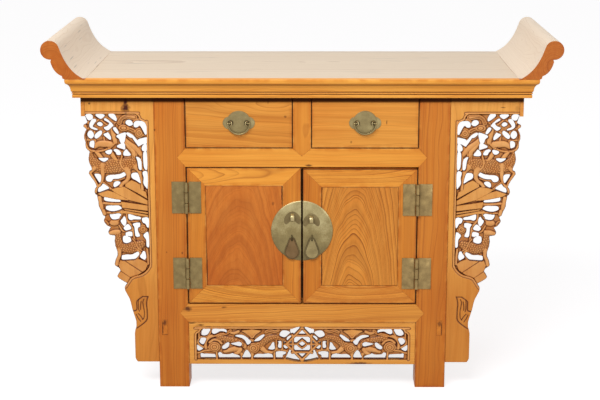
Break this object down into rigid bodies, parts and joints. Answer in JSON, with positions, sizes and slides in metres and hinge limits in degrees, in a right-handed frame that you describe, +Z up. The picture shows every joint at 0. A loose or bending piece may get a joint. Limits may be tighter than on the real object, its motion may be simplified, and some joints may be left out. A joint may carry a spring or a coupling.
{
  "type": "altar cabinet",
  "caption": "Altar cabinet with drawers over hinged doors, everted flanges on the framed top, openwork carved brackets beside the legs and aged brass pulls and hinges.",
  "frame": {"origin": "middle of the bounding box at floor level", "axes": "+X to the right as the viewer faces the doors, +Y to the back, +Z up"},
  "size_m": [1.2298, 0.474, 0.8719],
  "materials": {
    "rail_wood": "waxed softwood, satin",
    "leg_wood": "waxed softwood, satin",
    "panel_wood": "waxed softwood with cathedral grain, satin",
    "top_wood": "waxed softwood, satin, worn",
    "carved_wood": "carved waxed softwood with dark stain in the cuts",
    "inner_wood": "unfinished softwood",
    "aged_brass": "aged, dull"
  },
  "bodies": {
    "carcass": {"front_leg_left": "leg_wood", "front_leg_right": "leg_wood", "back_leg_left": "leg_wood", "back_leg_right": "leg_wood", "top_front_board": "top_wood", "top_back_board": "top_wood", "top_end_left": "top_wood", "top_end_right": "top_wood", "top_panel": "top_wood", "mid_rail_front": "rail_wood", "drawer_divider": "rail_wood", "bottom_rail_front": "rail_wood", "side_rail_left": "leg_wood", "side_rail_right": "leg_wood", "side_panel_left": "panel_wood", "side_panel_right": "panel_wood", "back_panel": "inner_wood", "cupboard_floor": "inner_wood", "drawer_shelf": "inner_wood", "bracket_left": "carved_wood", "bracket_right": "carved_wood", "end_board_left": "rail_wood", "end_board_right": "rail_wood", "apron": "carved_wood", "hinge_left_lower_leg_leaf": "aged_brass", "hinge_left_upper_leg_leaf": "aged_brass", "hinge_right_lower_leg_leaf": "aged_brass", "hinge_right_upper_leg_leaf": "aged_brass"},
    "drawer_left": {"drawer_left_front": "rail_wood", "drawer_left_inner_side": "inner_wood", "drawer_left_outer_side": "inner_wood", "drawer_left_back": "inner_wood", "drawer_left_bottom": "inner_wood", "drawer_left_pull_plate": "aged_brass"},
    "bail_left": {"drawer_left_bail": "aged_brass"},
    "door_left": {"door_left_hinge_stile": "rail_wood", "door_left_meeting_stile": "rail_wood", "door_left_top_rail": "rail_wood", "door_left_bottom_rail": "rail_wood", "door_left_panel": "panel_wood", "door_left_lock_plate": "aged_brass", "hinge_left_lower_door_leaf": "aged_brass", "hinge_left_upper_door_leaf": "aged_brass"},
    "drop_left": {"door_left_drop_pull": "aged_brass"},
    "drawer_right": {"drawer_right_front": "rail_wood", "drawer_right_inner_side": "inner_wood", "drawer_right_outer_side": "inner_wood", "drawer_right_back": "inner_wood", "drawer_right_bottom": "inner_wood", "drawer_right_pull_plate": "aged_brass"},
    "bail_right": {"drawer_right_bail": "aged_brass"},
    "door_right": {"door_right_hinge_stile": "rail_wood", "door_right_meeting_stile": "rail_wood", "door_right_top_rail": "rail_wood", "door_right_bottom_rail": "rail_wood", "door_right_panel": "panel_wood", "door_right_lock_plate": "aged_brass", "hinge_right_lower_door_leaf": "aged_brass", "hinge_right_upper_door_leaf": "aged_brass"},
    "drop_right": {"door_right_drop_pull": "aged_brass"}
  },
  "joints": [
    {"name": "drawer_left_slide", "type": "slide", "parent": "carcass", "child": "drawer_left", "axis": [0, -1, 0], "range_m": [0, 0.26]},
    {"name": "bail_left_swing", "type": "hinge", "parent": "drawer_left", "child": "bail_left", "pos_m": [-0.15125, -0.2145, 0.67075], "axis": [-1, 0, 0], "range_deg": [0, 170]},
    {"name": "door_left_hinge", "type": "hinge", "parent": "carcass", "child": "door_left", "pos_m": [-0.28, -0.2123, 0.39], "axis": [0, 0, -1], "range_deg": [0, 170]},
    {"name": "drop_left_swing", "type": "hinge", "parent": "door_left", "child": "drop_left", "pos_m": [-0.0244, -0.2115, 0.3865], "axis": [-1, 0, 0], "range_deg": [0, 150]},
    {"name": "drawer_right_slide", "type": "slide", "parent": "carcass", "child": "drawer_right", "axis": [0, -1, 0], "range_m": [0, 0.26]},
    {"name": "bail_right_swing", "type": "hinge", "parent": "drawer_right", "child": "bail_right", "pos_m": [0.15125, -0.2145, 0.67075], "axis": [-1, 0, 0], "range_deg": [0, 170]},
    {"name": "door_right_hinge", "type": "hinge", "parent": "carcass", "child": "door_right", "pos_m": [0.28, -0.2123, 0.39], "axis": [0, 0, 1], "range_deg": [0, 170]},
    {"name": "drop_right_swing", "type": "hinge", "parent": "door_right", "child": "drop_right", "pos_m": [0.0244, -0.2115, 0.3865], "axis": [-1, 0, 0], "range_deg": [0, 150]}
  ]
}
